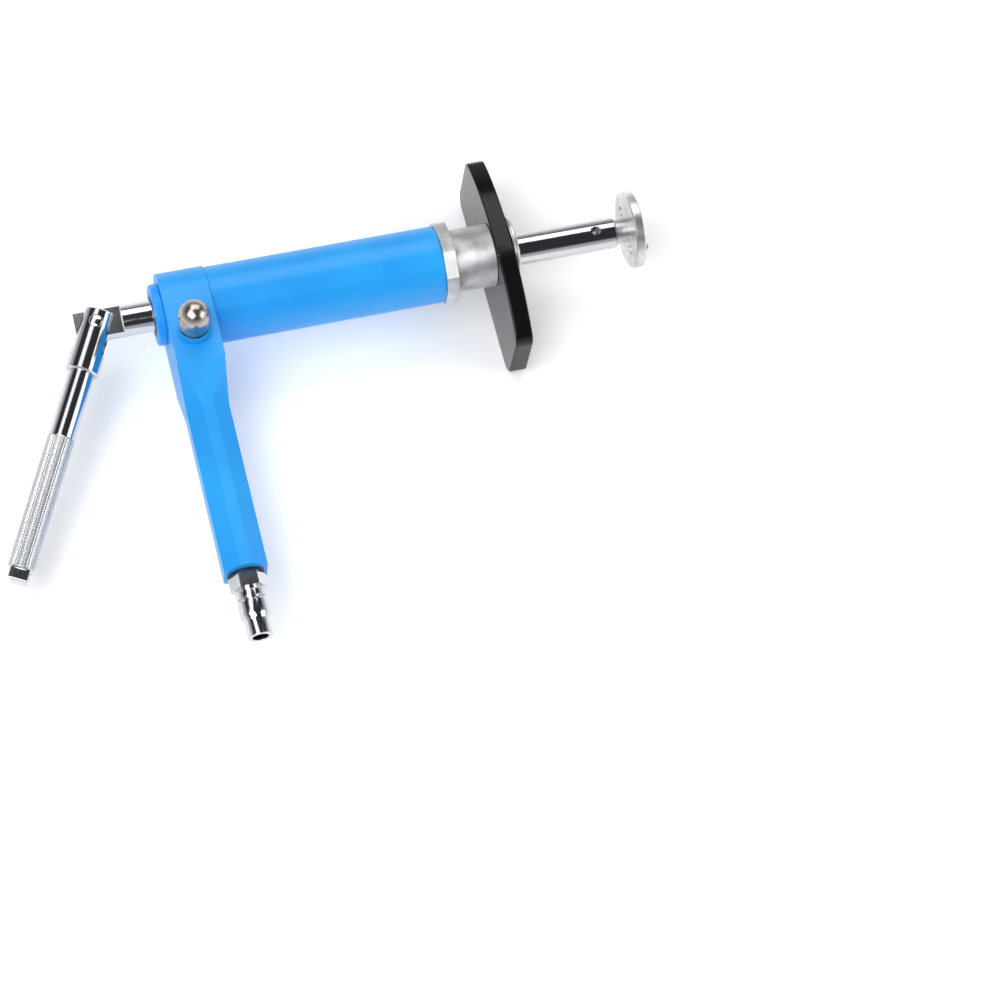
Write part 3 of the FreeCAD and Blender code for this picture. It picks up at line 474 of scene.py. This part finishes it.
barrel_low, barrel_high = box_of("barrel_tube")
barrel_length = barrel_high.x - barrel_low.x
barrel_radius = barrel_high.z
WALL = 1.5       # mm, thickness of the tube
bore = barrel_radius - WALL
barrel = turn_piece("painted_barrel", [
    (0, bore), (0, barrel_radius), (barrel_length * 0.5, barrel_radius),
    (barrel_length, barrel_radius), (barrel_length, bore), (0, bore)], hollow=True)
lay_along(barrel, (barrel_low.x * MM, 0, 0), (1, 0, 0))
finished(rounded(barrel, 0.5, 3), "barrel_tube", "housing", tube_enamel)

# %% Front cap
cap = softened("turned_front_cap", "front_cap", 0.25, 2, angle=13)
finished(cap, "front_cap", "housing", turned_aluminium)
gland = softened("painted_gland_cap", "rear_gland_cap", 0.5, 3)
finished(gland, "rear_gland_cap", "housing", tube_enamel)

# %% [markdown]
# ## Push button
#
# The button is a polished cap with a ball-shaped top. A hemisphere is a run of rings whose
# radius follows a circle, so the stations come from a sine and a cosine. The skirt is hollow,
# because it slides over the valve's neck, and its narrower lower end is guided in the boss.

# %% Push button
cap_low, cap_high = box_of("button_cap")
button_radius = (cap_high.x - cap_low.x) / 2
dome_from = cap_high.z - cap_low.z - button_radius
DOME_STEPS = 14
# The dome stops at 88 degrees, so that its last ring is small but not a point.
dome = [(dome_from + button_radius * math.sin(turn), button_radius * math.cos(turn))
        for turn in [math.radians(88 * step / DOME_STEPS) for step in range(DOME_STEPS + 1)]]
SEAT, BORE, GUIDE = 6.5, 6.0, 7.0     # depth of the spring's seat, then two radii of the skirt
LIP, LIP_EDGE = 2.4, 0.3              # height of the lip above the boss and its chamfer
skirt = [(SEAT, 0.4), (SEAT, BORE), (0.0, BORE), (0.0, GUIDE), (LIP, GUIDE),
         (LIP, button_radius - LIP_EDGE), (LIP + LIP_EDGE, button_radius)]
button = turn_piece("chromed_button", skirt + dome)
button_axis = (cap_low + cap_high) / 2
lay_along(button, (button_axis.x * MM, button_axis.y * MM, cap_low.z * MM), (0, 0, 1))
finished(rounded(button, 0.2, 2), "button_cap", "button", satin_chrome)

# %% [markdown]
# ## Handle bar and its knurl
#
# A knurling wheel presses two crossing sets of grooves into the bar and leaves rows of small
# pyramids. Cut one by one, they would take thousands of grooves. Instead, the bar gets a grid
# of points half a pitch apart, and every second point, like the black fields of a chessboard,
# is pressed in. Each four-sided face is then split along its shorter diagonal, which joins the
# two low points: those lines are the grooves, and the high points become the pyramids.

# %% Where the handle lies
spin = math.radians(6.5)                     # how far the spindle is turned at rest
swing = math.radians(242.5)                  # direction of the handle round its pin
pivot = Vector((-280.0, 0, 0))
along_handle = Vector((math.cos(swing), math.sin(swing) * math.cos(spin),
                       math.sin(swing) * math.sin(spin)))
across_pin = Vector((0, -math.sin(spin), math.cos(spin)))

# %% Handle bar
YOKE_END, KNURL_FROM, KNURL_TO, BAR_END = 26.0, 61.0, 130.5, 136.5
BAR_RADIUS, KNURL_RADIUS, STUB_SIDE = 6.75, 7.0, 9.6
SPIGOT_LENGTH, SPIGOT_RADIUS = 8, 4.9    # the bar's end inside the yoke
smooth_bar = turn_piece("smooth_bar", [
    (YOKE_END - SPIGOT_LENGTH, SPIGOT_RADIUS), (YOKE_END - 0.3, SPIGOT_RADIUS),
    (YOKE_END - 0.3, 6.0), (YOKE_END, BAR_RADIUS),
    (YOKE_END + 17, BAR_RADIUS), (KNURL_FROM, BAR_RADIUS)])

# %% Knurl
PITCH, KNURL_DEPTH = 1.2, 0.32
columns = 2 * round(2 * math.pi * KNURL_RADIUS / PITCH)
rows = 2 * round((KNURL_TO - KNURL_FROM) / PITCH)
step = (KNURL_TO - KNURL_FROM) / rows
knurl_stations = [(KNURL_FROM, BAR_RADIUS - 0.2)]
knurl_stations += [(KNURL_FROM + step * row, KNURL_RADIUS - 0.01) for row in range(1, rows - 1)]
knurl_stations += [(KNURL_TO - step, KNURL_RADIUS - 0.1), (KNURL_TO, KNURL_RADIUS - 1.3)]
knurl = turn_piece("knurled_grip", knurl_stations, segments=columns)
deselect()
for item in (*knurl.data.edges, *knurl.data.polygons):
    item.select = False
for vertex in knurl.data.vertices:
    row = round((vertex.co.z / MM - KNURL_FROM) / step)
    column = round(math.atan2(vertex.co.y, vertex.co.x) / (2 * math.pi / columns))
    vertex.select = 0 < row < rows - 1 and (row + column) % 2 == 0
knurl.select_set(True)
bpy.context.view_layer.objects.active = knurl
bpy.ops.object.mode_set(mode="EDIT")
bpy.ops.mesh.select_mode(type="VERT")
pressed = 1 - KNURL_DEPTH / KNURL_RADIUS
bpy.ops.transform.resize(value=(pressed, pressed, 1), center_override=(0, 0, 0))
bpy.ops.mesh.select_all(action="SELECT")
bpy.ops.mesh.quads_convert_to_tris(quad_method="SHORTEST_DIAGONAL")
bpy.ops.object.mode_set(mode="OBJECT")
print("knurl:", columns, "columns,", rows, "rows, faces:", len(knurl.data.polygons))

# %% Square stub at the tip
deselect()
bpy.ops.mesh.primitive_cube_add(size=1, location=(0, 0, (KNURL_TO + BAR_END) / 2 * MM))
stub = bpy.context.object
stub.name = "square_stub"
stub.scale = (STUB_SIDE * MM, STUB_SIDE * MM, (BAR_END - KNURL_TO + 0.6) * MM)
apply_place(stub)
bpy.ops.object.mode_set(mode="EDIT")
bpy.ops.mesh.select_all(action="DESELECT")
bpy.ops.mesh.select_mode(type="FACE")
bpy.ops.object.mode_set(mode="OBJECT")
for face in stub.data.polygons:
    face.select = face.normal.z > 0.9
bpy.ops.object.mode_set(mode="EDIT")
bpy.ops.mesh.inset(thickness=1.3 * MM)
STEP = 1.0 * MM          # the inset middle of the end face stands this far out
bpy.ops.transform.translate(value=(0, 0, STEP))
bpy.ops.object.mode_set(mode="OBJECT")
stub.data.transform(Matrix.Translation((0, 0, -STEP)))
rounded(stub, 0.3, 2)

# %% Join the bar and lay it in place
for bar_piece in (smooth_bar, knurl, stub):
    bar_piece.data.materials.clear()
    plated = bright_chrome if bar_piece is not knurl else knurl_chrome
    bar_piece.data.materials.append(plated)
rounded(smooth_bar, 0.3, 2)
deselect()
for bar_piece in (knurl, stub, smooth_bar):
    bar_piece.select_set(True)
bpy.context.view_layer.objects.active = smooth_bar
bpy.ops.object.join()
bar = smooth_bar
bar.name = "knurled_handle_bar"
bar.rotation_mode = "QUATERNION"
flat_side = across_pin.cross(along_handle)
turned_to = Matrix((flat_side, across_pin, along_handle)).transposed()
bar.rotation_quaternion = turned_to.to_quaternion()
bar.location = pivot * MM
apply_place(bar)
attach(bar, "handle")
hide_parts("handle_bar")
print("handle bar faces:", len(bar.data.polygons))

# %% [markdown]
# ## Yoke, pin, spindle, nut, disc and nipple
#
# These are machined and then plated. Their edges are broken by a fraction of a millimetre,
# which is what catches the light on chrome. Their shapes are right in the design, so each is
# a copy with whole faces and its edges softened.

# %% Machined pieces
MACHINED = [
    # piece, node, body, slot, finish, edge in mm
    ("chromed_yoke", "handle_yoke", "handle", "chrome_plate", bright_chrome, 0.5),
    ("chromed_spindle", "spindle_rod", "spindle", "chrome_plate", bright_chrome, 0.25),
    ("zinc_ring_nut", "plate_ring_nut", "housing", "zinc_steel", zinc_steel, 0.3),
    ("zinc_adapter_disc", "adapter_disc", "adapter", "zinc_steel", zinc_steel, 0.3),
    ("chromed_air_nipple", "air_nipple", "housing", "chrome_plate", bright_chrome, 0.3),
    ("rubber_seal_washer", "nipple_seal_washer", "housing", "nitrile_rubber", rubber, 0.4),
]
for piece_name, node, body, slot_name, material, edge in MACHINED:
    finished(softened(piece_name, node, edge, 2), node, body, material)

# %% Domed head of the pivot pin
HEAD_RADIUS, HEAD_HEIGHT, PIN_RADIUS, PIN_HALF = 3.5, 1.2, 2.95, 8.0
head = [(PIN_HALF + HEAD_HEIGHT * math.sin(turn), HEAD_RADIUS * math.cos(turn))
        for turn in [math.radians(85 * step / 8) for step in range(9)]]
foot = [(-along, radius) for along, radius in reversed(head)]
pivot_pin = turn_piece("riveted_pivot_pin",
                       foot + [(-PIN_HALF, PIN_RADIUS), (PIN_HALF, PIN_RADIUS)] + head,
                       segments=48)
lay_along(pivot_pin, pivot * MM, across_pin)
finished(rounded(pivot_pin, 0.15, 2), "handle_pivot_pin", "handle",
         bright_chrome)

# %% [markdown]
# ## Floor, light and camera
#
# The tool lies on a white lit table. Chrome needs something to mirror: in an all-white room it
# looks like plaster. So the room is pale only near the horizon, dark overhead and behind the
# camera, with two large pale panels beyond the tool and above it, a strong lamp to the left and
# a weaker one to the right. Each rod then gets a pale, a black and a pale band along its
# length, as polished rods have in any studio.

# %% Table
floor_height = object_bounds()[0].z
deselect()
bpy.ops.mesh.primitive_plane_add(size=12, location=(0, 0, floor_height - 0.0002))
table = bpy.context.object
table.name = "table"
table_paint, table_tree, table_shader = start_material("lit_white_table")
fleck = add(table_tree, "ShaderNodeTexNoise", inputs={"Scale": 3.0, "Detail": 2},
            links={"Vector": add(table_tree, "ShaderNodeTexCoord").outputs["Object"]})
table_tone = add(table_tree, "ShaderNodeMix", {"data_type": "RGBA"},
                 inputs={"A": colour("F4F4F4"), "B": colour("F8F8F8")},
                 links={"Factor": fleck.outputs["Fac"]})
table_tree.links.new(table_tone.outputs["Result"], table_shader.inputs["Base Color"])
table_shader.inputs["Roughness"].default_value = 0.9
table_shader.inputs["Emission Color"].default_value = (1, 1, 1, 1)
table_shader.inputs["Emission Strength"].default_value = 0.25
table.data.materials.append(table_paint)

# %% Room
world = bpy.data.worlds.new("studio")
bpy.context.scene.world = world
world.use_nodes = True
room = world.node_tree
direction = add(room, "ShaderNodeTexCoord").outputs["Generated"]
split = add(room, "ShaderNodeSeparateXYZ", links={"Vector": direction})
height = add(room, "ShaderNodeValToRGB", links={"Fac": split.outputs["Z"]})
ramp = height.color_ramp
ramp.elements[0].position = 0.22
ramp.elements[0].color = (0.6, 0.6, 0.61, 1)
ramp.elements[1].position = 0.48
ramp.elements[1].color = (0.035, 0.035, 0.04, 1)
room.links.new(height.outputs["Color"], room.nodes["Background"].inputs["Color"])
room.nodes["Background"].inputs["Strength"].default_value = 1.0


# %% Soft boxes
def soft_box(name, direction, size, glow):
    """Square panel 1.3 m away that faces the tool; glow is its brightness, 1 is white."""
    light = bpy.data.lights.new(name, "AREA")
    light.shape = "RECTANGLE"
    light.size, light.size_y = size
    light.energy = glow * math.pi * size[0] * size[1]
    item = bpy.data.objects.new(name, light)
    bpy.context.collection.objects.link(item)
    toward = Vector(direction).normalized()
    item.location = Vector((-0.12, -0.05, 0)) + toward * 1.3
    item.rotation_mode = "QUATERNION"
    item.rotation_quaternion = (-toward).to_track_quat("-Z", "Y")
    return item


soft_box("far_panel", (0.15, 0.62, 0.77), (1.2, 0.8), 2.0)
soft_box("high_panel", (-0.30, 0.31, 0.90), (0.9, 0.5), 1.5)
soft_box("left_lamp", (-0.48, -0.28, 0.83), (1.1, 0.8), 4.2)
soft_box("right_fill", (0.80, -0.30, 0.52), (1.0, 0.8), 2.2)
bpy.context.scene.view_settings.view_transform = "Standard"

# %% Camera
AZIMUTH, ELEVATION, ROLL = math.radians(-28.5), math.radians(66.6), math.radians(15.3)
AIM = Vector((-106, -132, 0)) * MM
DISTANCE, LENS = 1.4465, 106
back = Vector((math.sin(AZIMUTH) * math.cos(ELEVATION), -math.cos(AZIMUTH) * math.cos(ELEVATION),
               math.sin(ELEVATION)))
camera_data = bpy.data.cameras.new("camera")
camera_data.lens = LENS
camera = bpy.data.objects.new("camera", camera_data)
bpy.context.collection.objects.link(camera)
camera.location = AIM + back * DISTANCE
level = (-back).to_track_quat("-Z", "Y")
camera.rotation_mode = "QUATERNION"
camera.rotation_quaternion = level @ Matrix.Rotation(ROLL, 3, "Z").to_quaternion()
bpy.context.scene.camera = camera
